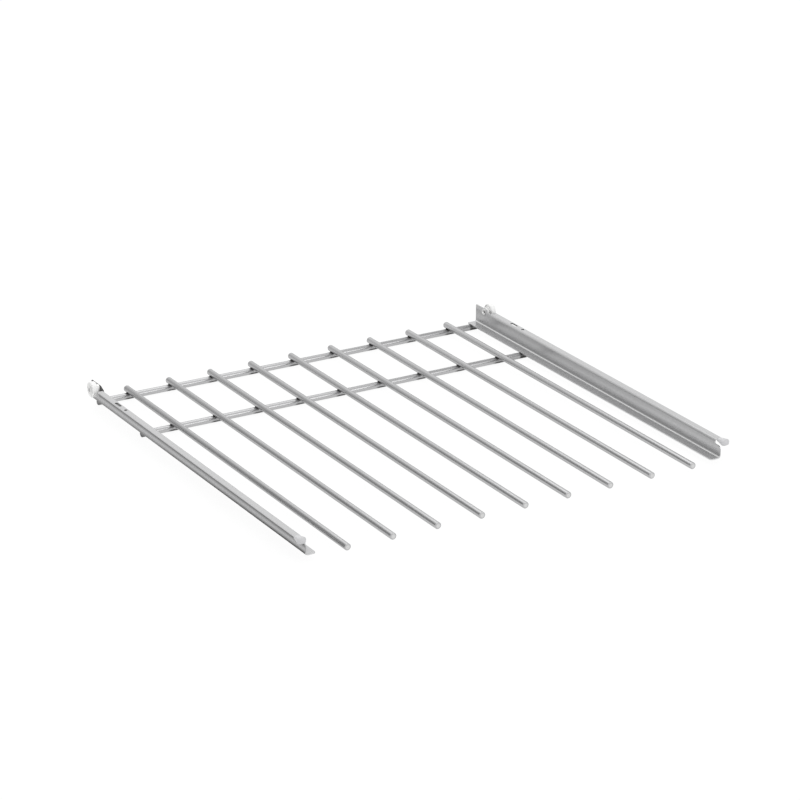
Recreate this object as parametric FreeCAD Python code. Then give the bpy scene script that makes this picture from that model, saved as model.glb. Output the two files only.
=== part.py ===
import FreeCAD, Part
import math
import os

from FreeCAD import Vector

os.makedirs("parts", exist_ok=True)

# Millimetres. X runs across the rack, Y from its front to its back and Z up.
# The origin is under the middle of the rods, on the plane that the cross bars stand on.

# Rods: round bars side by side, free at the front
ROD_COUNT = 9
ROD_PITCH = 50.0
ROD_DIAMETER = 7.0
ROD_LENGTH = 480.0
ROD_END_ROUND = 0.8

# Cross bars: two round bars that lie under the rods and the runners
BAR_DIAMETER = 7.0
BAR_END_ROUND = 0.6
BAR_SPACING = 105.0
REAR_BAR_INSET = 6.0  # rods' rear ends to the rear bar's axis
BAR_END_INSET = 4.0  # a runner's outer face to the bar's end below it
WELD_SET = 0.5  # how deep rods and runners sink into a bar where they are welded to it

# Runners: folded sheet with a web, a bottom flange inwards and a top flange outwards
RUNNER_LENGTH = 470.0
RUNNER_HEIGHT = 18.5
RUNNER_REAR_INSET = 0.5  # rods' rear ends to the runner's rear end
RUNNER_OFFSET = 41.0  # axis of the outer rod to the web's outer face
SHEET = 1.2
BEND_RADIUS = 1.8  # inside of a fold
BOTTOM_FLANGE = 12.0
TOP_FLANGE = 8.0
FLANGE_FRONT_CORNER = 3.0
FLANGE_REAR_CORNER = 1.0

# Rear tab: the web without its top flange, standing up behind the roller
TAB_RISE = 2.8  # above the top flange
TAB_FLAT = 21.0  # level stretch of its top edge, before it slopes to the top flange
TAB_SHOULDER_DROP = 0.4  # top flange to the foot of the slope
TAB_CORNER = 0.8

# Holes in the top flange
HOLE_EDGE = 3.2  # flange's free edge to the line of the holes
SLOT_INSET = 73.0  # runner's rear end to the slot's middle
SLOT_LENGTH = 12.0
SLOT_WIDTH = 3.2
HOLE_INSET = 91.0
HOLE_DIAMETER = 3.5

# Roller, its shouldered bush and the half-hollow rivet that clamps the bush to the web
AXLE_INSET = 17.5  # runner's rear end to the axle
AXLE_DROP = 0.9  # top flange to the axle
ROLLER_DIAMETER = 17.0
ROLLER_WIDTH = 6.0
ROLLER_EDGE_ROUND = 0.6  # outer edge of the tread
ROLLER_INNER_ROUND = 1.5  # edge of the tread beside the web
ROLLER_RIM = 1.6
ROLLER_HUB_WALL = 1.7
ROLLER_DISH = 1.2  # depth of the ring-shaped hollow in each side
ROLLER_STANDOFF = 3.6  # web to the roller's side of the bush's collar
ROLLER_END_PLAY = 0.1
ROLLER_FRONT_GAP = 3.0  # roller to the rear end of the top flange
BUSH_DIAMETER = 6.0
BUSH_FIT = 0.05  # radial running clearance of the roller
BUSH_COLLAR = 9.0
RIVET_DIAMETER = 4.0
RIVET_BORE = 3.0
RIVET_BORE_REACH = 4.0  # web to the bottom of the bore, below a solid head
RIVET_FIT = 0.05
RIVET_HEAD = 9.0
RIVET_HEAD_THICKNESS = 1.0
RIVET_TAIL = 7.0
RIVET_TAIL_THICKNESS = 1.0

# Front buffer: a drop that is pushed on the tongue at the front of the top flange
RELIEF_LENGTH = 9.0  # the fold is cut away over this length, which frees the tongue
FRONT_CORNER = 4.0
BUFFER_LEAD = 0.8  # middle of the drop's nose, ahead of the web's front edge
BUFFER_WIDTH = 9.4
BUFFER_HEIGHT = 7.0
BUFFER_TAIL_HEIGHT = 3.6
BUFFER_DROP = 0.8  # middle of the tongue to the drop's axis below it
BUFFER_WALL = 0.6  # beside the tongue, at the drop's tail
BUFFER_FIT = 0.05
BUFFER_CLEARANCE = 0.3

# Levels and stations that follow from the sizes above
SEAT_Z = BAR_DIAMETER - WELD_SET
ROD_Z = SEAT_Z + ROD_DIAMETER / 2
REAR_Y = ROD_LENGTH / 2
OUTER_ROD_X = (ROD_COUNT - 1) * ROD_PITCH / 2
WEB_X = OUTER_ROD_X + RUNNER_OFFSET
RUNNER_REAR_Y = REAR_Y - RUNNER_REAR_INSET
RUNNER_FRONT_Y = RUNNER_REAR_Y - RUNNER_LENGTH
RUNNER_TOP_Z = SEAT_Z + RUNNER_HEIGHT
FOLD_RADIUS = BEND_RADIUS + SHEET
TONGUE_X = WEB_X - SHEET + FOLD_RADIUS
TONGUE_WIDTH = TOP_FLANGE - FOLD_RADIUS
TONGUE_MID_X = TONGUE_X + TONGUE_WIDTH / 2
TONGUE_MID_Z = RUNNER_TOP_Z - SHEET / 2
HOLE_X = WEB_X - SHEET + TOP_FLANGE - HOLE_EDGE
NOSE_Y = RUNNER_FRONT_Y - BUFFER_LEAD
RELIEF_Y = RUNNER_FRONT_Y + RELIEF_LENGTH
BUFFER_Z = TONGUE_MID_Z - BUFFER_DROP
RELIEF_Z = BUFFER_Z - BUFFER_HEIGHT / 2 - BUFFER_CLEARANCE
AXLE_Y = RUNNER_REAR_Y - AXLE_INSET
AXLE_Z = RUNNER_TOP_Z - AXLE_DROP
FLANGE_REAR_Y = AXLE_Y - ROLLER_DIAMETER / 2 - ROLLER_FRONT_GAP
COLLAR_X = WEB_X + ROLLER_STANDOFF
BUSH_END_X = COLLAR_X + ROLLER_WIDTH + 2 * ROLLER_END_PLAY

ALONG_X = Vector(1, 0, 0)
ALONG_Y = Vector(0, 1, 0)
ALONG_Z = Vector(0, 0, 1)


def block(low, high):
    """A box between two opposite corners."""
    size = Vector(*high) - Vector(*low)
    return Part.makeBox(size.x, size.y, size.z, Vector(*low))


def outline(points, arcs):
    """A closed wire through the points; arcs gives the middle point of each round stretch by its start."""
    edges = []
    for i, start in enumerate(points):
        end = points[(i + 1) % len(points)]
        if i in arcs:
            edges.append(Part.Arc(start, arcs[i], end).toShape())
        else:
            edges.append(Part.LineSegment(start, end).toShape())
    return Part.Wire(edges)


def on_circle(centre, radius, angle, across, up):
    """The point of a circle at an angle from across towards up."""
    return centre + across * (radius * math.cos(angle)) + up * (radius * math.sin(angle))


def round_ends(bar, axis, radius):
    """Round the two end rims of a straight round bar."""
    rims = [e for e in bar.Edges if e.Closed and abs(e.Curve.Axis.dot(axis)) > 0.99]
    return bar.makeFillet(radius, rims)


def round_corners(shape, axis, spots, radius):
    """Round the straight edges along an axis whose middle lies nearest to each spot."""
    straight = [e for e in shape.Edges if len(e.Vertexes) == 2 and isinstance(e.Curve, Part.Line)]
    along = [e for e in straight if abs(e.tangentAt(e.FirstParameter).dot(axis)) > 0.99]
    nearest = [min(along, key=lambda e: (e.CenterOfMass - spot).Length) for spot in spots]
    return shape.makeFillet(radius, nearest)


def turned(points, arcs, axis_point, axis):
    """A solid of revolution of one closed outline."""
    return Part.Face(outline(points, arcs)).revolve(axis_point, axis, 360)


def rod(index):
    """One rod, from its free front end to its rear end."""
    x = index * ROD_PITCH - OUTER_ROD_X
    bar = Part.makeCylinder(ROD_DIAMETER / 2, ROD_LENGTH, Vector(x, -ROD_LENGTH / 2, ROD_Z), ALONG_Y)
    return round_ends(bar, ALONG_Y, ROD_END_ROUND)


def cross_bar(y, welded):
    """A round bar from under one runner to under the other, with a seat for each piece welded to it."""
    half = WEB_X - BAR_END_INSET
    bar = Part.makeCylinder(BAR_DIAMETER / 2, 2 * half, Vector(-half, y, BAR_DIAMETER / 2), ALONG_X)
    return round_ends(bar, ALONG_X, BAR_END_ROUND).cut(Part.makeCompound(welded))


def runner_section():
    """The folded sheet's section at the front end of the right-hand runner."""
    def at(outwards, height):
        return Vector(WEB_X + outwards, RUNNER_FRONT_Y, SEAT_Z + height)

    top = RUNNER_HEIGHT
    low_fold = at(-FOLD_RADIUS, FOLD_RADIUS)
    high_fold = at(FOLD_RADIUS - SHEET, top - FOLD_RADIUS)
    points = [
        at(-BOTTOM_FLANGE, 0),
        at(-FOLD_RADIUS, 0),
        at(0, FOLD_RADIUS),
        at(0, top - FOLD_RADIUS),
        at(FOLD_RADIUS - SHEET, top - SHEET),
        at(TOP_FLANGE - SHEET, top - SHEET),
        at(TOP_FLANGE - SHEET, top),
        at(FOLD_RADIUS - SHEET, top),
        at(-SHEET, top - FOLD_RADIUS),
        at(-SHEET, FOLD_RADIUS),
        at(-FOLD_RADIUS, SHEET),
        at(-BOTTOM_FLANGE, SHEET),
    ]
    low, high = math.radians(-45), math.radians(135)
    arcs = {
        1: on_circle(low_fold, FOLD_RADIUS, low, ALONG_X, ALONG_Z),
        3: on_circle(high_fold, BEND_RADIUS, high, ALONG_X, ALONG_Z),
        7: on_circle(high_fold, FOLD_RADIUS, high, ALONG_X, ALONG_Z),
        9: on_circle(low_fold, BEND_RADIUS, low, ALONG_X, ALONG_Z),
    }
    return Part.Face(outline(points, arcs))


def rear_tab():
    """The upright end of the web, level at the rear and sloping down to the top flange."""
    def at(inset, z):
        return Vector(WEB_X - SHEET, RUNNER_REAR_Y - inset, z)

    foot = SEAT_Z + FOLD_RADIUS
    shoulder = RUNNER_TOP_Z - TAB_SHOULDER_DROP
    crest = RUNNER_TOP_Z + TAB_RISE
    length = RUNNER_REAR_Y - FLANGE_REAR_Y
    points = [at(0, foot), at(0, crest), at(TAB_FLAT, crest), at(length, shoulder), at(length, foot)]
    tab = Part.Face(outline(points, {})).extrude(ALONG_X * SHEET)
    return round_corners(tab, ALONG_X, [at(0, crest), at(TAB_FLAT, crest)], TAB_CORNER)


def flange_slot(inset, length, width):
    """A cutter with round ends through the top flange, lengthwise on the line of the holes."""
    y = RUNNER_REAR_Y - inset
    run = length - width
    low = RUNNER_TOP_Z - 2 * SHEET
    centres = [Vector(HOLE_X, y + side * run / 2, low) for side in (-1, 1)]
    ends = [Part.makeCylinder(width / 2, 3 * SHEET, centre) for centre in centres]
    middle = block(
        (HOLE_X - width / 2, y - run / 2, low),
        (HOLE_X + width / 2, y + run / 2, low + 3 * SHEET),
    )
    return ends[0].fuse([middle, ends[1]])


def tongue(gap):
    """The free front end of the top flange, grown by a gap all round."""
    return block(
        (TONGUE_X - gap, NOSE_Y - gap, RUNNER_TOP_Z - SHEET - gap),
        (TONGUE_X + TONGUE_WIDTH + gap, RELIEF_Y + gap, RUNNER_TOP_Z + gap),
    )


def runner():
    """The right-hand runner: folded section, rear tab, freed front tongue and its holes."""
    inner = WEB_X - SHEET
    sheet = runner_section().extrude(ALONG_Y * RUNNER_LENGTH)
    no_flange = block(
        (inner - SHEET, FLANGE_REAR_Y, RUNNER_TOP_Z - FOLD_RADIUS),
        (WEB_X + TOP_FLANGE, RUNNER_REAR_Y + SHEET, RUNNER_TOP_Z + SHEET),
    )
    relief = block(
        (inner - SHEET, RUNNER_FRONT_Y - SHEET, RELIEF_Z),
        (TONGUE_X, RELIEF_Y, RUNNER_TOP_Z + SHEET),
    )
    body = sheet.cut([no_flange, relief]).fuse([rear_tab(), tongue(0)]).removeSplitter()

    web_corner = Vector(WEB_X - SHEET / 2, RUNNER_FRONT_Y, RELIEF_Z)
    body = round_corners(body, ALONG_X, [web_corner], FRONT_CORNER)
    flange_edge = WEB_X - BOTTOM_FLANGE
    mid = SEAT_Z + SHEET / 2
    body = round_corners(body, ALONG_Z, [Vector(flange_edge, RUNNER_FRONT_Y, mid)], FLANGE_FRONT_CORNER)
    body = round_corners(body, ALONG_Z, [Vector(flange_edge, RUNNER_REAR_Y, mid)], FLANGE_REAR_CORNER)

    rivet_hole = Part.makeCylinder(
        RIVET_DIAMETER / 2 + RIVET_FIT, 3 * SHEET, Vector(inner - SHEET, AXLE_Y, AXLE_Z), ALONG_X
    )
    hole_foot = Vector(HOLE_X, RUNNER_REAR_Y - HOLE_INSET, RUNNER_TOP_Z - 2 * SHEET)
    round_hole = Part.makeCylinder(HOLE_DIAMETER / 2, 3 * SHEET, hole_foot)
    return body.cut([rivet_hole, flange_slot(SLOT_INSET, SLOT_LENGTH, SLOT_WIDTH), round_hole])


def axle_point(x, radius):
    """A point over the axle, in the plane that the turned pieces are drawn in."""
    return Vector(x, AXLE_Y, AXLE_Z + radius)


def roller():
    """The right-hand roller: a rim and a hub joined by a thinner disc."""
    low = COLLAR_X + ROLLER_END_PLAY
    high = low + ROLLER_WIDTH
    bore = BUSH_DIAMETER / 2 + BUSH_FIT
    hub = bore + ROLLER_HUB_WALL
    tread = ROLLER_DIAMETER / 2
    rim = tread - ROLLER_RIM
    points = [
        axle_point(low, bore),
        axle_point(high, bore),
        axle_point(high, hub),
        axle_point(high - ROLLER_DISH, hub),
        axle_point(high - ROLLER_DISH, rim),
        axle_point(high, rim),
        axle_point(high, tread - ROLLER_EDGE_ROUND),
        axle_point(high - ROLLER_EDGE_ROUND, tread),
        axle_point(low + ROLLER_INNER_ROUND, tread),
        axle_point(low, tread - ROLLER_INNER_ROUND),
        axle_point(low, rim),
        axle_point(low + ROLLER_DISH, rim),
        axle_point(low + ROLLER_DISH, hub),
        axle_point(low, hub),
    ]
    inner_edge = axle_point(low + ROLLER_INNER_ROUND, tread - ROLLER_INNER_ROUND)
    outer_edge = axle_point(high - ROLLER_EDGE_ROUND, tread - ROLLER_EDGE_ROUND)
    arcs = {
        6: on_circle(outer_edge, ROLLER_EDGE_ROUND, math.radians(45), ALONG_X, ALONG_Z),
        8: on_circle(inner_edge, ROLLER_INNER_ROUND, math.radians(135), ALONG_X, ALONG_Z),
    }
    return turned(points, arcs, axle_point(0, 0), ALONG_X)


def bush():
    """The right-hand bush: a collar against the web and the journal that the roller turns on."""
    bore = RIVET_DIAMETER / 2 + RIVET_FIT
    points = [
        axle_point(WEB_X, bore),
        axle_point(BUSH_END_X, bore),
        axle_point(BUSH_END_X, BUSH_DIAMETER / 2),
        axle_point(COLLAR_X, BUSH_DIAMETER / 2),
        axle_point(COLLAR_X, BUSH_COLLAR / 2),
        axle_point(WEB_X, BUSH_COLLAR / 2),
    ]
    return turned(points, {}, axle_point(0, 0), ALONG_X)


def rivet():
    """The right-hand rivet: a crowned solid head outside and a hollow tail, flared inside the web."""
    inner = WEB_X - SHEET
    bore = RIVET_BORE / 2
    shank = RIVET_DIAMETER / 2
    rim = RIVET_HEAD_THICKNESS / 2
    crown = BUSH_END_X + RIVET_HEAD_THICKNESS
    bottom = WEB_X + RIVET_BORE_REACH
    points = [
        axle_point(inner - RIVET_TAIL_THICKNESS, bore),
        axle_point(bottom, bore),
        axle_point(bottom, 0),
        axle_point(crown, 0),
        axle_point(crown, shank),
        axle_point(BUSH_END_X + rim, RIVET_HEAD / 2),
        axle_point(BUSH_END_X, RIVET_HEAD / 2),
        axle_point(BUSH_END_X, shank),
        axle_point(inner, shank),
        axle_point(inner, RIVET_TAIL / 2),
        axle_point(inner - RIVET_TAIL_THICKNESS, shank),
    ]
    return turned(points, {}, axle_point(0, 0), ALONG_X)


def half_drop(tail_half, nose_radius, up):
    """Half of a drop along Y, on one side of its axis: straight tail, tangent flank and round nose."""
    centre = Vector(TONGUE_MID_X, NOSE_Y, BUFFER_Z)
    length = RELIEF_Y - BUFFER_CLEARANCE - NOSE_Y
    touch = math.atan2(tail_half, length) + math.acos(nose_radius / math.hypot(tail_half, length))
    tail = centre + ALONG_Y * length
    points = [
        tail,
        tail + up * tail_half,
        on_circle(centre, nose_radius, touch, ALONG_Y, up),
        centre - ALONG_Y * nose_radius,
    ]
    arcs = {2: on_circle(centre, nose_radius, (touch + math.pi) / 2, ALONG_Y, up)}
    return Part.Face(outline(points, arcs))


def buffer():
    """The right-hand buffer: a drop, flatter from the side than from above, with a slot for the tongue."""
    axis_point = Vector(TONGUE_MID_X, NOSE_Y, BUFFER_Z)
    tail_half = TONGUE_WIDTH / 2 + BUFFER_FIT + BUFFER_WALL
    drop = half_drop(tail_half, BUFFER_WIDTH / 2, ALONG_X).revolve(axis_point, ALONG_Y, 360)
    upper = half_drop(BUFFER_TAIL_HEIGHT / 2, BUFFER_HEIGHT / 2, ALONG_Z)
    upper.translate(-ALONG_X * BUFFER_WIDTH)
    upper = upper.extrude(ALONG_X * 2 * BUFFER_WIDTH)
    lower = upper.mirror(axis_point, ALONG_Z)
    return drop.common(upper.fuse(lower).removeSplitter()).cut(tongue(BUFFER_FIT))


rods = {f"rod_{i + 1}": rod(i) for i in range(ROD_COUNT)}
right = {
    "runner": runner(),
    "roller": roller(),
    "roller_bush": bush(),
    "roller_rivet": rivet(),
    "buffer": buffer(),
}
left = {name: shape.mirror(Vector(0, 0, 0), ALONG_X) for name, shape in right.items()}

rear_bar_y = REAR_Y - REAR_BAR_INSET
welded = list(rods.values()) + [right["runner"], left["runner"]]
pieces = dict(rods)
pieces["rear_cross_bar"] = cross_bar(rear_bar_y, welded)
pieces["front_cross_bar"] = cross_bar(rear_bar_y - BAR_SPACING, welded)
for side, made in (("left", left), ("right", right)):
    for name, shape in made.items():
        pieces[f"{side}_{name}"] = shape

for name, shape in pieces.items():
    shape.exportStep(f"parts/{name}.step")
    print(name, len(shape.Solids), "solid", shape.isValid(), round(shape.Volume, 1), "mm3")
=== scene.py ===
import math

import bmesh
import bpy
from mathutils import Matrix, Vector, geometry


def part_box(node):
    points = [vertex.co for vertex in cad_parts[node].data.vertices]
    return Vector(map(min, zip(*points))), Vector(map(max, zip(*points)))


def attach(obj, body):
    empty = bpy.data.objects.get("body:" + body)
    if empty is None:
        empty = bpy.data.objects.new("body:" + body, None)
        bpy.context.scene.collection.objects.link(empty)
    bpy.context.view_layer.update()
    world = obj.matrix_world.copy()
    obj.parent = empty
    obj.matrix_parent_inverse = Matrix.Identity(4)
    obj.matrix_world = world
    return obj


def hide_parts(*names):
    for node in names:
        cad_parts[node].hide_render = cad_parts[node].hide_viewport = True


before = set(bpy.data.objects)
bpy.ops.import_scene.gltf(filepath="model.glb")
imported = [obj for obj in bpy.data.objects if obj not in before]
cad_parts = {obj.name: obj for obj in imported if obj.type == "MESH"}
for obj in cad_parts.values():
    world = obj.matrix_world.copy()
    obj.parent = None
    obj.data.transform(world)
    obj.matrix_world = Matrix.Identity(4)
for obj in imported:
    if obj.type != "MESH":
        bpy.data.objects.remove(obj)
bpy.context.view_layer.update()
scene = bpy.context.scene

# Cross bars: two drawn round steel bars that lie under the rods and the runners and carry them.
# Each is cut to length, rounded at both ends, resistance-welded to what crosses it and coated with it.
mm = 0.001


class Flow:
    """One socket of a node tree. Arithmetic on it adds Math nodes, and node() adds any other node."""

    def __init__(self, tree, socket=None):
        self.tree, self.socket = tree, socket

    def node(self, kind, settings=None, inputs=None, out=0):
        made = self.tree.nodes.new(kind)
        for key, value in (settings or {}).items():
            setattr(made, key, value)
        for key, value in (inputs or {}).items():
            if isinstance(value, Flow):
                self.tree.links.new(value.socket, made.inputs[key])
            else:
                made.inputs[key].default_value = value
        return Flow(self.tree, made.outputs[out])

    def math(self, operation, *values):
        return self.node("ShaderNodeMath", {"operation": operation}, dict(enumerate(values)))

    def __add__(self, other):
        return self.math("ADD", self, other)

    def __sub__(self, other):
        return self.math("SUBTRACT", self, other)

    def __rsub__(self, other):
        return self.math("SUBTRACT", other, self)

    def __mul__(self, other):
        return self.math("MULTIPLY", self, other)

    __radd__ = __add__
    __rmul__ = __mul__

    def __abs__(self):
        return self.math("ABSOLUTE", self)

    def larger(self, other):
        return self.math("MAXIMUM", self, other)

    def diagonal(self, other):
        """Straight distance, from this distance and another one square to it."""
        return self.math("SQRT", self * self + other * other)

    def ease(self, start, end):
        """0 at one value and 1 at the other, eased between them."""
        settings = {"interpolation_type": "SMOOTHSTEP"}
        return self.node("ShaderNodeMapRange", settings, {0: self, 1: start, 2: end})

    def between(self, low, high):
        """Two colours, mixed by this value."""
        low, high = (c if isinstance(c, Flow) else (*c, 1) for c in (low, high))
        return self.node("ShaderNodeMix", {"data_type": "RGBA"}, {0: self, 6: low, 7: high}, out=2)

    def axis(self, letter):
        return self.node("ShaderNodeSeparateXYZ", inputs={0: self}, out=letter)


def finish_of(name):
    """A new material, its shader and a flow that starts from the place on the piece."""
    material = bpy.data.materials.new(name)
    material.use_nodes = True
    tree = material.node_tree
    shader = tree.nodes["Principled BSDF"]
    return material, shader, Flow(tree).node("ShaderNodeTexCoord", out="Object")


def feed(shader, **inputs):
    """Links or sets the shader's inputs; an underscore stands for a space in a name."""
    for key, value in inputs.items():
        socket = shader.inputs[key.replace("_", " ")]
        if isinstance(value, Flow):
            value.tree.links.new(value.socket, socket)
        else:
            socket.default_value = value


def noise(place, scale, detail=2.0, stretch=(1, 1, 1)):
    """Even noise around 0.5; stretch squeezes the pattern along an axis, in repeats."""
    spread = place.node("ShaderNodeMapping", inputs={"Vector": place, "Scale": stretch})
    return place.node("ShaderNodeTexNoise", inputs={"Vector": spread, "Scale": scale, "Detail": detail})


COAT_DARK, COAT_PALE = (0.45, 0.45, 0.454), (0.52, 0.52, 0.525)
# SCORCH_AND_SHADE darkens the coat for scorch and for painted shade; HIGHLIGHT_PALE lightens it for painted
# highlights.
SCORCH_AND_SHADE, HIGHLIGHT_PALE = (0.035, 0.034, 0.033), (0.88, 0.88, 0.87)


def silver_coat(name, lines, pale=1.0, metal=1.0, dull=0.0, dark=None, bright=None):
    """Silver-grey metallic coat: drawing or rolling lines in the steel show through it, under a fine flake.

    lines gives the repeats of those lines along each axis, pale lightens the coat and dull roughens it.
    dark gives how far scorch, a bare edge or painted shade darkens the coat at a place, and bright how far a
    painted highlight lightens it."""
    material, shader, place = finish_of(name)
    drawn = noise(place, 1.0, 3.0, lines)
    flake = noise(place, 2600.0, 1.0)
    peel = noise(place, 420.0, 2.0)
    cloud = noise(place, 24.0, 3.0)
    tone = 0.6 * drawn + 0.15 * flake + 0.25 * cloud
    colour = tone.between([pale * c for c in COAT_DARK], [pale * c for c in COAT_PALE])
    # dark paints scorch or shade into the colour, and bright paints highlights.
    if dark:
        colour = dark(place).between(colour, SCORCH_AND_SHADE)
    if bright:
        colour = bright(place).between(colour, HIGHLIGHT_PALE)
    bump = place.node(
        "ShaderNodeBump",
        inputs={"Strength": 0.04, "Distance": 0.1 * mm, "Height": 0.6 * peel + 0.4 * drawn},
    )
    feed(
        shader,
        Base_Color=colour,
        Specular_Tint=(0.7, 0.7, 0.7, 1),
        Roughness=0.215 + dull + 0.06 * cloud + 0.05 * drawn,
        Metallic=metal,
        Normal=bump,
    )
    return material


def new_tree(name, inputs):
    """A geometry tree with named inputs, and each of them as a flow."""
    tree = bpy.data.node_groups.new(name, "GeometryNodeTree")
    tree.interface.new_socket("Geometry", in_out="OUTPUT", socket_type="NodeSocketGeometry")
    for label, kind in inputs.items():
        tree.interface.new_socket(label, in_out="INPUT", socket_type=f"NodeSocket{kind}")
    entry = tree.nodes.new("NodeGroupInput")
    return tree, {label: Flow(tree, entry.outputs[label]) for label in inputs}


def close_tree(shape, finish):
    """Ends a geometry tree: copies made real, smooth shading, and the finish."""
    whole = shape.node("GeometryNodeRealizeInstances", inputs={"Geometry": shape})
    smooth = whole.node("GeometryNodeSetShadeSmooth", inputs={"Geometry": whole})
    coated = smooth.node("GeometryNodeSetMaterial", inputs={"Geometry": smooth, "Material": finish})
    end = shape.tree.nodes.new("NodeGroupOutput")
    shape.tree.links.new(coated.socket, end.inputs[0])


def grown(name, tree, values):
    """The piece that a geometry tree gives with these values, as a plain mesh."""
    piece = bpy.data.objects.new(name, bpy.data.meshes.new(name))
    scene.collection.objects.link(piece)
    modifier = piece.modifiers.new(tree.name, "NODES")
    modifier.node_group = tree
    for item in tree.interface.items_tree:
        if item.in_out == "INPUT":
            modifier[item.identifier] = values[item.name]
    depsgraph = bpy.context.evaluated_depsgraph_get()
    mesh = bpy.data.meshes.new_from_object(piece.evaluated_get(depsgraph), depsgraph=depsgraph)
    piece.modifiers.remove(modifier)
    piece.data = mesh
    mesh.name = name
    return piece


END_STEPS = 5  # rings in the rounding of each end
bar_tree, bar = new_tree(
    "round_bars",
    {
        "Count": "Int",
        "First": "Vector",
        "Step": "Vector",
        "Along": "Vector",
        "Length": "Float",
        "Diameter": "Float",
        "End round": "Float",
        "Sides": "Int",
        "Finish": "Material",
    },
)
index = bar["Length"].node("GeometryNodeInputIndex")
nearer_end = index.math("MINIMUM", index, 2 * END_STEPS + 1 - index)
turn = nearer_end * (math.pi / 2 / END_STEPS)
inset = bar["End round"] * (1 - turn.math("COSINE", turn))
radius = 0.5 * bar["Diameter"] - bar["End round"] * (1 - turn.math("SINE", turn))
far_half = index.math("GREATER_THAN", index, END_STEPS + 0.5)
station = inset - 0.5 * bar["Length"] + far_half * (bar["Length"] - 2 * inset)
line = index.node("GeometryNodeCurvePrimitiveLine")
line = line.node("GeometryNodeResampleCurve", inputs={"Curve": line, "Count": 2 * END_STEPS + 2})
spot = line.node("ShaderNodeVectorMath", {"operation": "SCALE"}, {0: bar["Along"], "Scale": station})
line = line.node("GeometryNodeSetPosition", inputs={"Geometry": line, "Position": spot})
ring = line.node("GeometryNodeCurvePrimitiveCircle", inputs={"Resolution": bar["Sides"], "Radius": 1.0})
one_bar = line.node(
    "GeometryNodeCurveToMesh",
    inputs={"Curve": line, "Profile Curve": ring, "Scale": radius, "Fill Caps": True},
)
row = index.node(
    "GeometryNodeMeshLine",
    {"mode": "OFFSET"},
    {"Count": bar["Count"], "Start Location": bar["First"], "Offset": bar["Step"]},
)
bars = row.node("GeometryNodeInstanceOnPoints", inputs={"Points": row, "Instance": one_bar})
close_tree(bars, bar["Finish"])


def middle(node):
    low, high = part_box(node)
    return (low + high) / 2


first_rod = middle("rod_1")
ROD_STEP = middle("rod_2") - first_rod
FLANGE_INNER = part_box("right_runner")[0].x  # edge of the bottom flange, above the bar's end
BAR_SIDES = 48


def from_rod(place):
    """Distance across from the axis of the nearest rod."""
    x = place.axis("X")
    return abs(x.math("WRAP", x, ROD_STEP.x / 2, -ROD_STEP.x / 2))


def weld_scorch_and_shade(place):
    """Darkening on the bars, partly weld scorch that the coat hardly hides and partly painted shade: on top
    beside each rod, scorch and painted shade in the wedge; below it, a painted dark reflection of the rod;
    and at both ends under the runners, painted shadow of the flanges, most on the right."""
    x, z, away = place.axis("X"), place.axis("Z"), from_rod(place)
    beside = away.ease(5.5 * mm, 2.0 * mm) * z.ease(2.5 * mm, 5.5 * mm)
    below = away.ease(8.0 * mm, 3.0 * mm) * z.ease(3.5 * mm, 2.3 * mm)
    at_right = (0.85 + 0.3 * z.ease(4.5 * mm, 2.5 * mm)) * x.ease(FLANGE_INNER - 3.5 * mm, FLANGE_INNER)
    at_left = 0.35 + 0.3 * z.ease(3.5 * mm, 1.5 * mm)
    at_left = at_left * x.ease(3.5 * mm - FLANGE_INNER, -1.0 * mm - FLANGE_INNER)
    patchy = 0.45 + noise(place, 700.0, 3.0)
    return patchy * (0.55 * beside + 0.9 * below).larger(at_right + at_left)


low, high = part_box("rear_cross_bar")
rear_bar, front_bar = middle("rear_cross_bar"), middle("front_cross_bar")
BAR_DIAMETER = high.y - low.y
UNDER_SIZE = 0.02 * mm  # keeps the bar inside its box
cross_bars = grown(
    "cross_bars",
    bar_tree,
    {
        "Count": 2,
        "First": rear_bar,
        "Step": front_bar - rear_bar,
        "Along": (1, 0, 0),
        "Length": high.x - low.x,
        "Diameter": BAR_DIAMETER - UNDER_SIZE,
        "End round": 0.6 * mm,
        "Sides": BAR_SIDES,
        "Finish": silver_coat("coat_on_cross_bars", (6, 900, 900), dark=weld_scorch_and_shade),
    },
)
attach(cross_bars, "rack")
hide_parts("rear_cross_bar", "front_cross_bar")

# Rods: nine straight round steel bars that the trousers hang over, side by side and free at the front.
# They lie on the cross bars, are welded to them at the rear, and have their end edges rounded off.
ROD_COUNT = 9
low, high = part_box("rod_1")
ROD_END = high.y


def end_highlight(place):
    """The rods' end faces are painted paler in the middle, inside the rounded edge: a painted highlight."""
    in_middle = from_rod(place).diagonal(place.axis("Z") - first_rod.z).ease(2.6 * mm, 1.6 * mm)
    return 0.4 * in_middle * abs(place.axis("Y")).ease(ROD_END - 0.4 * mm, ROD_END - 0.2 * mm)


rods = grown(
    "trouser_rods",
    bar_tree,
    {
        "Count": ROD_COUNT,
        "First": first_rod,
        "Step": ROD_STEP,
        "Along": (0, 1, 0),
        "Length": high.y - low.y,
        "Diameter": high.z - low.z,
        "End round": 0.8 * mm,
        "Sides": BAR_SIDES,
        "Finish": silver_coat("coat_on_rods", (900, 6, 900), bright=end_highlight),
    },
)
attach(rods, "rack")
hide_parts(*(f"rod_{i + 1}" for i in range(ROD_COUNT)))

# Welds: rods and runners are pressed on to the cross bars by spot welding, so a little metal is squeezed out
# around each joint. It is rough and scorched, and nearly black as painted shade of the gap, where the coat
# hardly reaches.


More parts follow.
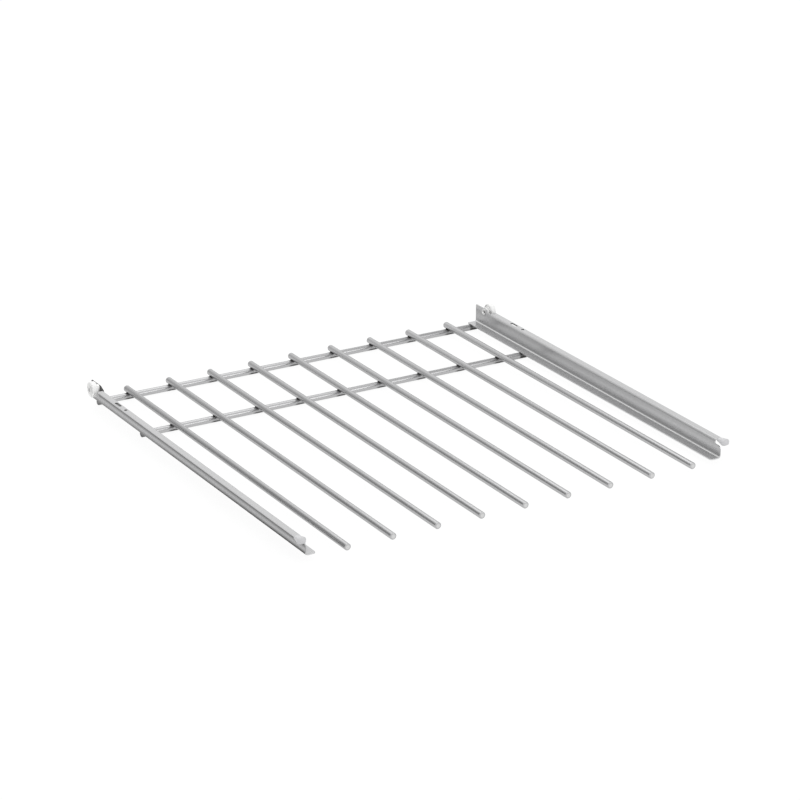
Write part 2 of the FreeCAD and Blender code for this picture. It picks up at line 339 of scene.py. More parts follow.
def scorched_steel_and_shade(name):
    """Burnt weld metal, nearly black as painted shade of the gap at each joint, with a little of the coat
    over it.
    """
    material, shader, place = finish_of(name)
    burn = noise(place, 900.0, 3.0)
    grit = noise(place, 3000.0, 2.0)
    bump = place.node("ShaderNodeBump", inputs={"Strength": 0.4, "Distance": 0.1 * mm, "Height": grit})
    feed(
        shader,
        Base_Color=burn.between((0.012, 0.012, 0.012), (0.07, 0.068, 0.065)),
        Roughness=0.55 + 0.25 * grit,
        Metallic=0.7,
        Normal=bump,
    )
    return material


LIP_STEPS, BEAD_SIDES = 40, 8
weld_tree, weld = new_tree(
    "squeezed_welds",
    {
        "Columns": "Int",
        "First": "Vector",
        "Step": "Vector",
        "Row step": "Vector",
        "Radius": "Float",
        "Lengthening": "Float",
        "Rise along X": "Float",
        "Fall along Y": "Float",
        "Thickness": "Float",
        "Unevenness": "Float",
        "Seed": "Float",
        "Finish": "Material",
    },
)
loop = Flow(weld_tree).node(
    "GeometryNodeCurvePrimitiveCircle", inputs={"Resolution": LIP_STEPS, "Radius": weld["Radius"]}
)
spot = loop.node("GeometryNodeInputPosition")
x, y = spot.axis("X") * weld["Lengthening"], spot.axis("Y")
rise = weld["Rise along X"] * x * x - weld["Fall along Y"] * y * y
bent = rise.node("ShaderNodeCombineXYZ", inputs={"X": x, "Y": y, "Z": rise})
loop = loop.node("GeometryNodeSetPosition", inputs={"Geometry": loop, "Position": bent})
bead = loop.node("GeometryNodeCurvePrimitiveCircle", inputs={"Resolution": BEAD_SIDES, "Radius": 1.0})
lip = loop.node(
    "GeometryNodeCurveToMesh", inputs={"Curve": loop, "Profile Curve": bead, "Scale": weld["Thickness"]}
)
line_of = {"Count": weld["Columns"], "Start Location": weld["First"], "Offset": weld["Step"]}
row = loop.node("GeometryNodeMeshLine", {"mode": "OFFSET"}, line_of)
pair = loop.node("GeometryNodeMeshLine", {"mode": "OFFSET"}, {"Count": 2, "Offset": weld["Row step"]})
rows = row.node("GeometryNodeInstanceOnPoints", inputs={"Points": pair, "Instance": row})
rows = rows.node("GeometryNodeRealizeInstances", inputs={"Geometry": rows})
lips = rows.node("GeometryNodeInstanceOnPoints", inputs={"Points": rows, "Instance": lip})
lips = lips.node("GeometryNodeRealizeInstances", inputs={"Geometry": lips})
place = lips.node("GeometryNodeInputPosition")
rough = place.node(
    "ShaderNodeTexNoise",
    {"noise_dimensions": "4D"},
    {"Vector": place, "W": weld["Seed"], "Scale": 700.0, "Detail": 2.0},
    out="Color",
)
centred = rough.node("ShaderNodeVectorMath", {"operation": "SUBTRACT"}, {0: rough, 1: (0.5, 0.5, 0.5)})
push = centred.node("ShaderNodeVectorMath", {"operation": "SCALE"}, {0: centred, "Scale": weld["Unevenness"]})
lips = lips.node("GeometryNodeSetPosition", inputs={"Geometry": lips, "Offset": push})
close_tree(lips, weld["Finish"])

SEAT_X = 232.2 * mm  # middle of the runner's seat on the bar
hug = 1 / (2 * BAR_DIAMETER)  # bends a lip half as much as the bar that it lies on
burnt_and_shaded = scorched_steel_and_shade("scorched_weld_and_shade")
welds = grown(
    "rod_welds",
    weld_tree,
    {
        "Columns": ROD_COUNT,
        "First": (first_rod.x, rear_bar.y, (first_rod.z + rear_bar.z) / 2),
        "Step": ROD_STEP,
        "Row step": front_bar - rear_bar,
        "Radius": 2.6 * mm,
        "Lengthening": 1.0,
        "Rise along X": hug,
        "Fall along Y": hug,
        "Thickness": 0.6 * mm,
        "Unevenness": 0.5 * mm,
        "Seed": 3.0,
        "Finish": burnt_and_shaded,
    },
)
seat_welds = grown(
    "runner_welds",
    weld_tree,
    {
        "Columns": 2,
        "First": (-SEAT_X, rear_bar.y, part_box("left_runner")[0].z),
        "Step": (2 * SEAT_X, 0, 0),
        "Row step": front_bar - rear_bar,
        "Radius": 2.3 * mm,
        "Lengthening": 1.9,
        "Rise along X": 0.0,
        "Fall along Y": hug,
        "Thickness": 0.45 * mm,
        "Unevenness": 0.5 * mm,
        "Seed": 8.0,
        "Finish": burnt_and_shaded,
    },
)
for piece in (welds, seat_welds):
    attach(piece, "rack")

# Runners: steel sheet, cut out flat and folded twice: a web, a bottom flange inwards, a top flange outwards.
# The blank has its holes, the notch at the front and the tab behind the roller before it is folded.
SIDES = (("left", -1), ("right", 1))
SHEET = 1.2 * mm
FOLD = 3.0 * mm  # outside radius
FOLD_STEPS = 8
EDGE = 0.18 * mm  # cut edges, rounded by the coat
low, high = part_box("right_runner")
FLANGE_OUTER = high.x
FOOT, CREST = low.z, high.z
REAR, TONGUE_FRONT = high.y, low.y
TONGUE_LEAD = 0.8 * mm
FRONT = TONGUE_FRONT + TONGUE_LEAD  # of the web and the bottom flange
WEB_OUTER = 241.0 * mm
WEB = WEB_OUTER - SHEET / 2  # middle of the sheet
FLANGE_REAR = 210.5 * mm
TAB_FLAT = 21.0 * mm
TAB_CORNER = 0.8 * mm
TAB_SHOULDER_DROP = 0.4 * mm
TAB_RISE = 2.8 * mm
TOP = CREST - TAB_RISE  # of the top flange
SLIT = 0.3 * mm  # cut that frees the tab from the end of the top flange
RELIEF = 9.0 * mm  # notch that frees the tongue
RELIEF_TOP = 19.8 * mm
AXLE = middle("right_roller")
AXLE_HOLE = 4.1 * mm
SLOT_Y, SLOT_LENGTH, SLOT_WIDTH = REAR - 73.0 * mm, 12.0 * mm, 3.2 * mm
HOLE_Y, HOLE = REAR - 91.0 * mm, 3.5 * mm
HOLE_EDGE = 3.2 * mm  # free edge of the top flange to the line of its holes

bottom_fold = Vector((WEB_OUTER - FOLD, 0, FOOT + FOLD))
top_fold = Vector((WEB - SHEET / 2 + FOLD, 0, TOP - FOLD))
fold_middle = FOLD - SHEET / 2
fold_run = fold_middle * math.pi / 2
fold_1 = WEB_OUTER - FOLD - FLANGE_INNER
web_foot = fold_1 + fold_run
fold_2 = web_foot + TOP - FOOT - 2 * FOLD
flange = fold_2 + fold_run
free_edge = flange + FLANGE_OUTER - (WEB - SHEET / 2 + FOLD)


def up_web(z):
    """Where a height on the web lies across the flat blank."""
    return web_foot + z - FOOT - FOLD


def rounded(corners, steps=6):
    """The outline through (y, across, radius) corners, with each corner rounded to its radius."""
    points = []
    for i, (y, s, radius) in enumerate(corners):
        here = Vector((y, s))
        if radius == 0:
            points.append(here)
            continue
        before = (Vector(corners[i - 1][:2]) - here).normalized()
        after = (Vector(corners[(i + 1) % len(corners)][:2]) - here).normalized()
        half = before.angle(after) / 2
        centre = here + (before + after).normalized() * (radius / math.sin(half))
        start = here + before * (radius / math.tan(half)) - centre
        end = here + after * (radius / math.tan(half)) - centre
        sweep = start.angle_signed(end)
        points += [centre + Matrix.Rotation(-sweep * k / steps, 2) @ start for k in range(steps + 1)]
    return points


def long_hole(y, s, length, width, steps=14):
    """A hole with round ends along the runner; round where its length is its width."""
    run = (length - width) / 2
    angles = [math.pi * k / steps - math.pi / 2 for k in range(steps + 1)]
    right = [Vector((y + run + width / 2 * math.cos(a), s + width / 2 * math.sin(a))) for a in angles]
    left = [Vector((y - run - width / 2 * math.cos(a), s - width / 2 * math.sin(a))) for a in angles]
    return right + left if run else right[:-1] + left[:-1]


blank = rounded([
    (FRONT, 0, 3.0 * mm),
    (REAR, 0, 1.0 * mm),
    (REAR, up_web(CREST), TAB_CORNER),
    (REAR - TAB_FLAT, up_web(CREST), TAB_CORNER),
    (FLANGE_REAR + SLIT, up_web(TOP - TAB_SHOULDER_DROP), 0),
    (FLANGE_REAR + SLIT, fold_2, 0),
    (FLANGE_REAR, fold_2, 0),
    (FLANGE_REAR, free_edge, 0.6 * mm),
    (TONGUE_FRONT, free_edge, 0),
    (TONGUE_FRONT, flange, 0),
    (FRONT + RELIEF, flange, 0),
    (FRONT + RELIEF, up_web(RELIEF_TOP), 0.5 * mm),
    (FRONT, up_web(RELIEF_TOP), 4.0 * mm),
])
hole_line = free_edge - HOLE_EDGE
holes = [
    long_hole(AXLE.y, up_web(AXLE.z), AXLE_HOLE, AXLE_HOLE),
    long_hole(SLOT_Y, hole_line, SLOT_LENGTH, SLOT_WIDTH),
    long_hole(HOLE_Y, hole_line, HOLE, HOLE),
]


def folded(y, s):
    """Place and normal of the sheet's middle where a point of the blank comes to lie."""
    along = Vector((0, y, 0))
    on_tab = y > FLANGE_REAR + 0.01 * mm
    if s <= fold_1:
        return Vector((FLANGE_INNER + s, y, FOOT + SHEET / 2)), Vector((0, 0, -1))
    if s < web_foot:
        turn = (s - fold_1) / fold_middle
        out = Vector((math.sin(turn), 0, -math.cos(turn)))
        return bottom_fold + along + out * fold_middle, out
    if s <= fold_2 or on_tab:
        return Vector((WEB, y, FOOT + FOLD + s - web_foot)), Vector((1, 0, 0))
    turn = min((s - fold_2) / fold_middle, math.pi / 2)
    out = Vector((math.cos(turn), 0, -math.sin(turn)))
    return top_fold + along - out * fold_middle + Vector((max(s - flange, 0), 0, 0)), out


def settled(name, mesh):
    """A piece whose large flat faces stay flat beside rounded edges."""
    piece = bpy.data.objects.new(name, mesh)
    scene.collection.objects.link(piece)
    weighted = piece.modifiers.new("flat_faces", "WEIGHTED_NORMAL")
    weighted.mode, weighted.weight = "FACE_AREA", 100
    depsgraph = bpy.context.evaluated_depsgraph_get()
    piece.data = bpy.data.meshes.new_from_object(piece.evaluated_get(depsgraph), depsgraph=depsgraph)
    piece.modifiers.remove(weighted)
    piece.data.name = name
    return piece


def folded_runner(name, side, materials):
    """The blank, filled between its outline, holes and bend lines, folded and given its thickness."""
    spots, edges = [], []
    for loop in [blank, *holes]:
        first = len(spots)
        spots += loop
        edges += [(first + k, first + (k + 1) % len(loop)) for k in range(len(loop))]
    bends = [(fold_1, FRONT, REAR), (fold_2, FRONT + RELIEF, FLANGE_REAR)]
    for start, front, rear in bends:
        for k in range(FOLD_STEPS + 1):
            s = start + fold_run * k / FOLD_STEPS
            edges.append((len(spots), len(spots) + 1))
            spots += [Vector((front, s)), Vector((rear, s))]
    scale = 1 / mm
    inside_only, tolerance = 1, 1e-5
    flat, _, tiles, *_ = geometry.delaunay_2d_cdt(
        [p * scale for p in spots], edges, [], inside_only, tolerance
    )

    def in_hole(tile):
        centre = sum((flat[v] for v in tile), Vector((0, 0))) / len(tile)
        return any(geometry.intersect_point_tri_2d(centre, h[0] * scale, h[k] * scale, h[k + 1] * scale)
                   for h in holes for k in range(1, len(h) - 1))

    shape = bmesh.new()
    inner, outer = [], []
    for p in flat:
        place, out = folded(p.x / scale, p.y / scale)
        for layer, offset in ((inner, -SHEET / 2), (outer, SHEET / 2)):
            layer.append(shape.verts.new(place + out * offset))
    kept = [t for t in tiles if not in_hole(t)]
    for tile in kept:
        shape.faces.new([outer[v] for v in tile])
        shape.faces.new([inner[v] for v in reversed(tile)])
    sides = dict.fromkeys(pair for tile in kept for pair in zip(tile, tile[1:] + tile[:1]))
    rim = [
        shape.faces.new([outer[b], outer[a], inner[a], inner[b]])
        for a, b in sides if (b, a) not in sides
    ]
    for face in rim:
        face.material_index = 1
    bmesh.ops.delete(shape, geom=[v for v in shape.verts if not v.link_faces], context="VERTS")

    def on_rim(edge):
        return len({f.material_index for f in edge.link_faces}) == 2

    bmesh.ops.dissolve_limit(
        shape, angle_limit=math.radians(0.5), verts=[], edges=[e for e in shape.edges if not on_rim(e)],
        delimit={"MATERIAL"},
    )
    bmesh.ops.bevel(
        shape, geom=[e for e in shape.edges if on_rim(e)], offset=EDGE, offset_type="OFFSET", segments=2,
        profile=0.5, affect="EDGES", clamp_overlap=True, material=1,
    )
    if side < 0:
        bmesh.ops.scale(shape, vec=(-1, 1, 1), verts=shape.verts)
    bmesh.ops.recalc_face_normals(shape, faces=shape.faces)
    for face in shape.faces:
        face.smooth = True
    mesh = bpy.data.meshes.new(name)
    shape.to_mesh(mesh)
    shape.free()
    for material in materials:
        mesh.materials.append(material)
    return settled(name, mesh)


def from_fold(place):
    """Across, up and straight distance from the axis of the bottom fold."""
    across, up = abs(place.axis("X")) - bottom_fold.x, place.axis("Z") - bottom_fold.z
    return across, up, across.diagonal(up)


def fold_highlight(place):
    """A painted highlight on the inside of the bottom fold."""
    across, up, distance = from_fold(place)
    in_fold = across.ease(0.5 * mm, 1.0 * mm) * up.ease(-0.5 * mm, -1.0 * mm)
    return 0.5 * in_fold * distance.ease(2.3 * mm, 2.1 * mm)


def painted_shade_outside(place):
    """Painted shade outside the web: under the top flange, behind the roller, and on the tab's crest."""
    x, y, z = (place.axis(letter) for letter in "XYZ")
    outside = abs(x).ease(WEB_OUTER - 0.1 * mm, WEB_OUTER - 0.05 * mm)
    corner = z.ease(TOP - 6.5 * mm, TOP - 5.5 * mm)
    under = 0.75 * z.ease(TOP - 12.0 * mm, TOP - 7.5 * mm) - 0.2 * corner
    under = under * z.ease(TOP - SHEET + 0.1 * mm, TOP - SHEET + 0.05 * mm)
    under = under * y.ease(AXLE.y + 2.0 * mm, AXLE.y - 2.0 * mm)
    behind = corner * (y - AXLE.y).diagonal(z - AXLE.z).ease(11.0 * mm, 9.5 * mm)
    crest = z.ease(CREST - 2.0 * mm, CREST - 1.0 * mm)
    return outside * under.larger(0.85 * behind).larger(0.85 * crest)


def painted_shade_on_fold(place):
    """Painted shade on the outside of the bottom fold, stronger towards the front."""
    across, up, distance = from_fold(place)
    fold_shade = distance.ease(FOLD - 0.3 * mm, FOLD - 0.15 * mm)
    fold_shade = fold_shade * up.ease(3.0 * mm, -0.8 * mm) * across.ease(-0.2 * mm, 0.2 * mm)
    return fold_shade * (0.45 + 0.25 * place.axis("Y").ease(200 * mm, -200 * mm))


def painted_shade_by_folds(place):
    """Painted shade in bands inside the web, beside both folds."""
    z = place.axis("Z")
    below_top = z.ease(TOP - 9.0 * mm, TOP - 3.5 * mm) * z.ease(TOP - 1.2 * mm, TOP - 2.2 * mm)
    above_foot = z.ease(FOOT + 7.0 * mm, FOOT + 4.0 * mm) * z.ease(FOOT + 2.0 * mm, FOOT + 3.0 * mm)
    return 0.2 * (below_top + above_foot) * abs(place.axis("X")).ease(WEB + 0.1 * mm, WEB - 0.1 * mm)


def painted_shade_on_sheet(place):
    """How far painted shade darkens the sheet's coat."""
    return painted_shade_outside(place).larger(painted_shade_on_fold(place).larger(painted_shade_by_folds(place)))


def bare_edge_and_shade(place):
    """Darker cut edges: at the webs' front, where the coat hardly covers them, and painted shade in the holes
    and on the left tab.
    """
    x, y, z = (place.axis(letter) for letter in "XYZ")
    across = abs(x)
    on_tab = x.ease(-200 * mm, -220 * mm) * y.ease(FLANGE_REAR - 1.0 * mm, FLANGE_REAR + 1.0 * mm)
    in_holes = across.ease(top_fold.x - 0.3 * mm, top_fold.x + 0.2 * mm)
    in_holes = in_holes * across.ease(FLANGE_OUTER - 0.5 * mm, FLANGE_OUTER - 1.0 * mm)
    in_holes = in_holes * y.ease(HOLE_Y - 13.5 * mm, HOLE_Y - 8.5 * mm)
    in_holes = in_holes * y.ease(SLOT_Y + 13.5 * mm, SLOT_Y + 8.5 * mm)
    at_front = y.ease(FRONT + 1.0 * mm, FRONT + 0.5 * mm) * z.ease(FOOT + 2.0 * mm, FOOT + 4.0 * mm)
    return (0.95 * on_tab.larger(in_holes)).larger(0.4 * at_front)


sheet_coat = silver_coat(
    "coat_on_sheet", (900, 5, 900), pale=1.08, metal=0.55, dull=-0.03, dark=painted_shade_on_sheet, bright=fold_highlight
)
edge_coat = silver_coat("coat_on_cut_edges", (60, 500, 60), pale=1.3, dull=0.1, dark=bare_edge_and_shade)
for side, sign in SIDES:
    runner = folded_runner(f"{side}_runner_sheet", sign, (sheet_coat, edge_coat))
    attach(runner, "rack")
    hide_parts(f"{side}_runner")

# Bushes: turned steel sleeves with a thick collar that stands the roller off the web.
# The rivet clamps each one against the web, and the roller turns on its journal.


def turned(name, outline, centre, side, material, sides=72, sharp=30):
    """A piece turned about X from an outline of (out from the middle plane, radius) points."""
    shape = bmesh.new()
    rings = []
    for x, r in outline:
        rings.append([
            shape.verts.new((
                side * x,
                centre.y + r * math.sin(2 * math.pi * k / sides),
                centre.z + r * math.cos(2 * math.pi * k / sides),
            ))
            for k in range(sides)
        ])
    for ring, following in zip(rings, rings[1:] + rings[:1]):
        for k in range(sides):
            shape.faces.new([ring[k], ring[(k + 1) % sides], following[(k + 1) % sides], following[k]])
    bmesh.ops.remove_doubles(shape, verts=shape.verts, dist=0.001 * mm)
    bmesh.ops.delete(shape, geom=[e for e in shape.edges if not e.link_faces], context="EDGES")
    bmesh.ops.recalc_face_normals(shape, faces=shape.faces)
    for face in shape.faces:
        face.smooth = True
    mesh = bpy.data.meshes.new(name)
    shape.to_mesh(mesh)
    shape.free()
    mesh.set_sharp_from_angle(angle=math.radians(sharp))
    mesh.materials.append(material)
    piece = bpy.data.objects.new(name, mesh)
    scene.collection.objects.link(piece)
    return piece


def soft_outline(corners, steps=4):
    """A closed outline of (x, r, rounding) corners in millimetres, rounded, in metres."""
    return [(p.x * mm, p.y * mm) for p in rounded(corners, steps)]


def zinc_plating(name, rough, recolour=None):
    """Pale zinc plating on turned or formed steel: fine rings from the tool, a little cloudy.

    recolour takes a place and the plating's colour there, and gives the colour to show there instead, such as
    painted shade."""
    material, shader, place = finish_of(name)
    rings = noise(place, 1.0, 2.0, (2600, 300, 300))
    cloud = noise(place, 260.0, 3.0)
    bump = place.node("ShaderNodeBump", inputs={"Strength": 0.12, "Distance": 0.05 * mm, "Height": rings})
    colour = cloud.between((0.74, 0.74, 0.74), (0.9, 0.9, 0.89))
    feed(
        shader,
        Base_Color=recolour(place, colour) if recolour else colour,
        Roughness=rough + 0.16 * cloud,
        Metallic=0.8,
        Normal=bump,
    )
    return material


WEB_FACE, COLLAR, BUSH_END = WEB_OUTER / mm, 244.6, 250.8  # from the rack's middle, in millimetres
BUSH_BORE, JOURNAL, COLLAR_RADIUS = 2.05, 3.0, 4.5
bush_outline = soft_outline([
    (WEB_FACE, BUSH_BORE, 0),
    (BUSH_END, BUSH_BORE, 0.15),
    (BUSH_END, JOURNAL, 0.15),
    (COLLAR, JOURNAL, 0.2),
    (COLLAR, COLLAR_RADIUS, 0.3),
    (WEB_FACE, COLLAR_RADIUS, 0.3),
])
satin_plating = zinc_plating("satin_zinc", 0.45)
for side, sign in SIDES:
    bush = turned(f"{side}_bush_turned", bush_outline, AXLE, sign, satin_plating)
    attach(bush, "rack")
    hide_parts(f"{side}_roller_bush")

# Rollers: moulded white nylon wheels with a rim and a hub joined by a thinner disc.
# Each one turns freely on its bush, between the bush's collar and the rivet's head.


def white_nylon(name):
    """Moulded nylon: milky, slightly uneven, with a soft shine."""
    material, shader, place = finish_of(name)
    cloud = noise(place, 330.0, 3.0)
    grain = noise(place, 5200.0, 2.0)
    bump = place.node("ShaderNodeBump", inputs={"Strength": 0.1, "Distance": 0.04 * mm, "Height": grain})
    feed(
        shader,
        Base_Color=cloud.between((0.88, 0.88, 0.875), (0.94, 0.94, 0.935)),
        Roughness=0.32 + 0.12 * cloud,
        Normal=bump,
    )
    return material


INNER, OUTER = 244.7, 250.7  # sides, from the rack's middle, in millimetres
ROLLER_HOLE, HUB, RIM, TREAD = 3.05, 4.75, 6.9, 8.5  # radii
DISH, INNER_DISH = 1.2, 0.6  # depth of the hollow between hub and rim
roller_outline = soft_outline([
    (INNER, ROLLER_HOLE, 0.2),
    (OUTER, ROLLER_HOLE, 0.2),
    (OUTER, HUB, 0.3),
    (OUTER - DISH, HUB, 0.4),
    (OUTER - DISH, RIM, 0.4),
    (OUTER, RIM, 0.3),
    (OUTER, TREAD, 0.6),
    (INNER, TREAD, 1.45),
    (INNER, RIM, 0.1),
    (INNER + INNER_DISH, RIM, 0.4),
    (INNER + INNER_DISH, HUB, 0.4),
    (INNER, HUB, 0.3),
])
nylon = white_nylon("white_nylon")
for side, sign in SIDES:
    roller = turned(f"{side}_roller_wheel", roller_outline, AXLE, sign, nylon, sides=96)
    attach(roller, f"{side}_roller")
    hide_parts(f"{side}_roller")

# Rivets: half-hollow steel rivets through the bush and the web, with a solid head outside the roller.
# The tail is flared open against the inside of the web, so a ring with a hollow shows there.
INSIDE = WEB_FACE - SHEET / mm
BORE_END, HEAD = 245.0, 251.8  # bottom of the hollow and top of the head, from the rack's middle
SHANK, BORE, TAIL, FLARE = 2.0, 1.5, 3.5, 3.25  # radii
HEAD_RADIUS, HEAD_FLAT, HEAD_RIM = 4.5, 2.1, 0.45
TAIL_THICKNESS, TAIL_RIM = 1.0, 0.7
rivet_outline = soft_outline([
    (INSIDE - TAIL_THICKNESS, FLARE, 0.1),
    (INSIDE + 0.5, BORE, 0.5),
    (BORE_END, BORE, 0.3),
    (BORE_END, 0, 0),
    (HEAD, 0, 0),
    (HEAD, HEAD_FLAT, 1.0),
    (BUSH_END + HEAD_RIM, HEAD_RADIUS, 0.25),
    (BUSH_END, HEAD_RADIUS, 0.15),
    (BUSH_END, SHANK, 0),
    (INSIDE, SHANK, 0),
    (INSIDE, TAIL, 0.1),
    (INSIDE - TAIL_RIM, TAIL, 0.2),
])
# HOLLOW_SHADE is painted shade in the rivet's hollow; HEAD_GREY is the head's greyer tone.
HOLLOW_SHADE, HEAD_GREY = (0.03, 0.03, 0.03), (0.38, 0.38, 0.38)


def hollow_shade_and_grey_head(place, plating):
    """Painted shade, nearly black, in the tail's hollow, and a greyer head, more so towards its middle."""
    x, y, z = (place.axis(letter) for letter in "XYZ")
    across, radius = abs(x), (y - AXLE.y).diagonal(z - AXLE.z)
    hollow = radius.ease(1.76 * mm, 1.52 * mm) * across.ease(248 * mm, 244 * mm)
    head = 0.3 + 0.7 * radius.ease(3.0 * mm, 1.6 * mm)
    head = head * across.ease((BUSH_END - 0.4) * mm, BUSH_END * mm)
    return head.between(hollow.between(plating, HOLLOW_SHADE), HEAD_GREY)


bright_plating = zinc_plating("bright_zinc", 0.12, hollow_shade_and_grey_head)
for side, sign in SIDES:
    rivet = turned(f"{side}_rivet_hollow", rivet_outline, AXLE, sign, bright_plating)
    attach(rivet, "rack")
    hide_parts(f"{side}_roller_rivet")

# Buffers: drops of pale plastic pushed on the tongue at the front of each top flange.
# They stop the rack softly at the end of its travel; each has a thick round nose and a slim tail.
low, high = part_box("right_buffer")
NOSE = Vector(((low.x + high.x) / 2, TONGUE_FRONT, (low.z + high.z) / 2))
TAIL_Y = high.y
HALF_WIDTH, HALF_HEIGHT = (high.x - low.x) / 2, (high.z - low.z) / 2
TAIL_HALF_WIDTH, TAIL_HALF_HEIGHT = 3.15 * mm, 1.8 * mm
TAIL_ROUND = 0.3 * mm
SQUARENESS = 0.65  # of the drop's section: 1 is an ellipse, and less is squarer


def drop_half(y, nose_half, tail_half):
    """Half the drop's size at a place along it: round nose, then a flank that runs on to the tail."""
    run = TAIL_Y - NOSE.y
    touch = math.atan2(tail_half, run) + math.acos(nose_half / math.hypot(tail_half, run))
    join = nose_half * math.cos(touch)
    along = y - NOSE.y
    if along < join:
        return math.sqrt(max(nose_half ** 2 - along ** 2, 0))
    top = nose_half * math.sin(touch)
    return top + (tail_half - top) * (along - join) / (run - join)


def squared(wave):
    """A sine or cosine drawn out towards a square."""
    return math.copysign(abs(wave) ** SQUARENESS, wave)


def drop(name, side, material, sides=40, stations=26):
    """The drop as rings along the tongue, flatter from the side than from above."""
    front = NOSE.y - HALF_HEIGHT
    shape = bmesh.new()
    rings = [[shape.verts.new((side * NOSE.x, front, NOSE.z))]]
    for k in range(1, stations):
        y = front + (TAIL_Y - front) * (1 - math.cos(math.pi / 2 * k / (stations - 1)))
        blunt = math.sqrt(max(HALF_HEIGHT ** 2 - min(y - NOSE.y, 0) ** 2, 0)) / HALF_HEIGHT
        half_x = drop_half(max(y, NOSE.y), HALF_WIDTH, TAIL_HALF_WIDTH) * blunt
        half_z = drop_half(max(y, NOSE.y), HALF_HEIGHT, TAIL_HALF_HEIGHT) * blunt
        angles = [2 * math.pi * m / sides for m in range(sides)]
        rings.append([
            shape.verts.new((
                side * (NOSE.x + half_x * squared(math.cos(a))),
                y,
                NOSE.z + half_z * squared(math.sin(a)),
            ))
            for a in angles
        ])
    for ring, following in zip(rings, rings[1:]):
        for m in range(sides):
            near = [ring[m], ring[(m + 1) % sides]] if len(ring) > 1 else ring
            shape.faces.new(near + [following[(m + 1) % sides], following[m]])
    shape.faces.new(rings[-1])
    bmesh.ops.recalc_face_normals(shape, faces=shape.faces)
    tail_ring = set(rings[-1])
    rear_rim = [e for e in shape.edges if all(v in tail_ring for v in e.verts)]
    bmesh.ops.bevel(shape, geom=rear_rim, offset=TAIL_ROUND, segments=3, profile=0.5, affect="EDGES")
    for face in shape.faces:
        face.smooth = True
    mesh = bpy.data.meshes.new(name)
    shape.to_mesh(mesh)
    shape.free()
    mesh.materials.append(material)
    return settled(name, mesh)


def pale_plastic(name):
    """Moulded pale grey plastic, a little milky, with a satin shine."""
    material, shader, place = finish_of(name)
    cloud = noise(place, 280.0, 3.0)
    grain = noise(place, 4200.0, 2.0)
    bump = place.node("ShaderNodeBump", inputs={"Strength": 0.1, "Distance": 0.04 * mm, "Height": grain})
    feed(
        shader,
        Base_Color=cloud.between((0.56, 0.56, 0.572), (0.64, 0.64, 0.653)),
        Roughness=0.28 + 0.1 * cloud,
        Normal=bump,
    )
    return material


plastic = pale_plastic("pale_plastic")
for side, sign in SIDES:
    buffer = drop(f"{side}_buffer_drop", sign, plastic)
    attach(buffer, "rack")
    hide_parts(f"{side}_buffer")

# Floor: a plain pale table top under the rack, white to the camera and in the metal, with a faint shadow.
# It reaches past the view on all sides. In the metal alone, a strip of painted shade shows on it beside each
# runner.
FLOOR_REACH, FLOOR_DROP = 6.0, 0.2 * mm
FLOOR_WHITE, FLOOR_SHADE = (1.05, 1.05, 1.05), (0.08, 0.08, 0.08)
SHADOW_SHARE, MIRRORED_SHARE = 0.12, 0.9


def seen(flow, *ways):
    """1 for the kinds of ray that are named, else 0."""
    rays = [flow.node("ShaderNodeLightPath", out=f"Is {way} Ray") for way in ways]
    found = rays[0]
    for ray in rays[1:]:
        found = found.larger(ray)
    return found


floor_mesh = bpy.data.meshes.new("floor")
corners = [(-1, -1), (1, -1), (1, 1), (-1, 1)]
floor_mesh.from_pydata(
    [(FLOOR_REACH * x, FLOOR_REACH * y, -FLOOR_DROP) for x, y in corners], [], [(0, 1, 2, 3)]
)
floor = bpy.data.objects.new("floor", floor_mesh)
scene.collection.objects.link(floor)
table, table_shader, place = finish_of("pale_table")
pale = noise(place, 3.0).between((0.82, 0.82, 0.82), (0.85, 0.85, 0.85))
feed(table_shader, Base_Color=pale, Roughness=0.9)
lit = Flow(place.tree, table_shader.outputs[0])
x, y = place.axis("X"), place.axis("Y")
# Painted shade seen only in the metal: dim strips beside the runners, darker towards the front on the left.
shade_by_left = x.ease(-256 * mm, -247 * mm) * x.ease(-216 * mm, -228 * mm)
shade_by_left = shade_by_left * (0.35 + 0.65 * y.ease(250 * mm, -220 * mm)) * y.ease(-238 * mm, -224 * mm)
shade_by_right = 0.3 * x.ease(188 * mm, 204 * mm) * x.ease(240 * mm, 228 * mm) * y.ease(-150 * mm, 150 * mm)
mirrored = seen(place, "Glossy", "Transmission")
tone = (mirrored * (shade_by_left + shade_by_right)).between(FLOOR_WHITE, FLOOR_SHADE)
glow = place.node("ShaderNodeEmission", inputs={"Color": tone})
share = (1 - SHADOW_SHARE) * seen(place, "Camera") + MIRRORED_SHARE * mirrored
top = place.node("ShaderNodeMixShader", inputs={0: share, 1: lit, 2: glow})
place.tree.links.new(top.socket, place.tree.nodes["Material Output"].inputs["Surface"])
floor_mesh.materials.append(table)

# Studio: a soft white room with three soft boxes, and two grey cards, one behind on the left and one above
# on the right. The cards show only in the metal, where they draw the dark side of each rod and bar.
world = bpy.data.worlds.new("white_room")
scene.world = world
world.use_nodes = True
room = Flow(world.node_tree)
backdrop = world.node_tree.nodes["Background"]
feed(backdrop, Color=(1, 1, 1, 1), Strength=0.9 + 0.1 * seen(room, "Camera", "Glossy", "Transmission"))


def soft_box(name, place, aim, size, radiance):
    """A rectangular area lamp of an even brightness, turned to a point."""
    lamp = bpy.data.lights.new(name, "AREA")
    lamp.shape, lamp.size, lamp.size_y = "RECTANGLE", *size
    lamp.energy = radiance * math.pi * size[0] * size[1]
    box = bpy.data.objects.new(name, lamp)
    box.location = place
    box.rotation_euler = (Vector(aim) - Vector(place)).to_track_quat("-Z", "Y").to_euler()
    scene.collection.objects.link(box)


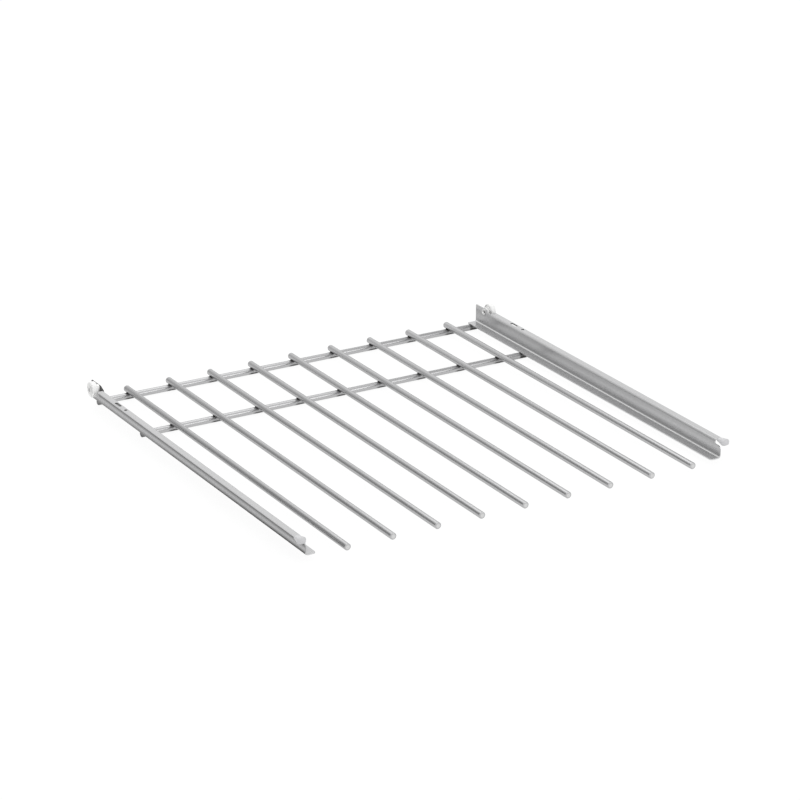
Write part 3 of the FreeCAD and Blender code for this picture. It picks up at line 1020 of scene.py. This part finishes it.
soft_box("overhead_box", place=(-0.1, 0.75, 1.4), aim=(-0.1, 0.7, 0.0), size=(1.7, 1.3), radiance=0.72)
soft_box("back_box", place=(1.1, 1.9, 0.75), aim=(0.0, 0.0, 0.0), size=(2.0, 1.4), radiance=0.25)
soft_box("front_box", place=(0.9, -1.9, 0.85), aim=(0.2, 0.1, 0.0), size=(1.4, 0.9), radiance=1.3)


def mirrored_card(name, corners, dark, pale, start, end):
    """A card that only the metal sees, its grey running from dark to pale along X."""
    mesh = bpy.data.meshes.new(name)
    mesh.from_pydata(corners, [], [(0, 1, 2, 3)])
    card = bpy.data.objects.new(name, mesh)
    scene.collection.objects.link(card)
    paint, _, place = finish_of(name)
    shade = place.axis("X").ease(start, end).between([dark] * 3, [pale] * 3)
    glow = place.node("ShaderNodeEmission", inputs={"Color": shade, "Strength": 1.0})
    place.tree.links.new(glow.socket, place.tree.nodes["Material Output"].inputs["Surface"])
    mesh.materials.append(paint)
    card.visible_camera = card.visible_diffuse = card.visible_shadow = False
    card.visible_transmission = card.visible_volume_scatter = False


mirrored_card(
    "graded_card",
    [(-2.2, 1.0, 0.0), (0.05, 1.0, 0.0), (0.05, 1.0, 1.3), (-2.2, 1.0, 1.3)],
    dark=0.34, pale=1.0, start=-1.1, end=0.15,
)
mirrored_card(
    "overhead_card",
    [(0.8, -0.6, 1.45), (2.2, -0.6, 1.45), (2.2, 1.7, 1.45), (0.8, 1.7, 1.45)],
    dark=0.62, pale=1.0, start=1.05, end=0.8,
)

# Camera: a long lens from the front left, a little above the rack, as in the photograph.
# It is turned by the angles below about a point between the rods, and moved by half a pixel.
AZIMUTH, ELEVATION, ROLL = (math.radians(a) for a in (-30.597, 21.409, 0.261))
TARGET, DISTANCE = Vector((36.250 * mm, 62.860 * mm, 10.0 * mm)), 3.279524
LENS, SENSOR = 139.047, 36.0  # millimetres
FRAME_PIXELS = 800
back = Vector((
    math.sin(AZIMUTH) * math.cos(ELEVATION),
    -math.cos(AZIMUTH) * math.cos(ELEVATION),
    math.sin(ELEVATION),
))
right = Vector((0, 0, 1)).cross(back).normalized()
up = back.cross(right)
right, up = right * math.cos(ROLL) + up * math.sin(ROLL), up * math.cos(ROLL) - right * math.sin(ROLL)
lens = bpy.data.cameras.new("camera")
lens.lens, lens.sensor_width = LENS, SENSOR
lens.clip_start, lens.clip_end = 0.1, 50.0
camera = bpy.data.objects.new("camera", lens)
half_pixel = DISTANCE * SENSOR / 2 / LENS / FRAME_PIXELS
turn = Matrix((right, up, back)).transposed().to_quaternion()
camera.matrix_world = Matrix.LocRotScale(TARGET + back * DISTANCE + (up - right) * half_pixel, turn, None)
scene.collection.objects.link(camera)
scene.camera = camera
scene.view_settings.view_transform = "Standard"
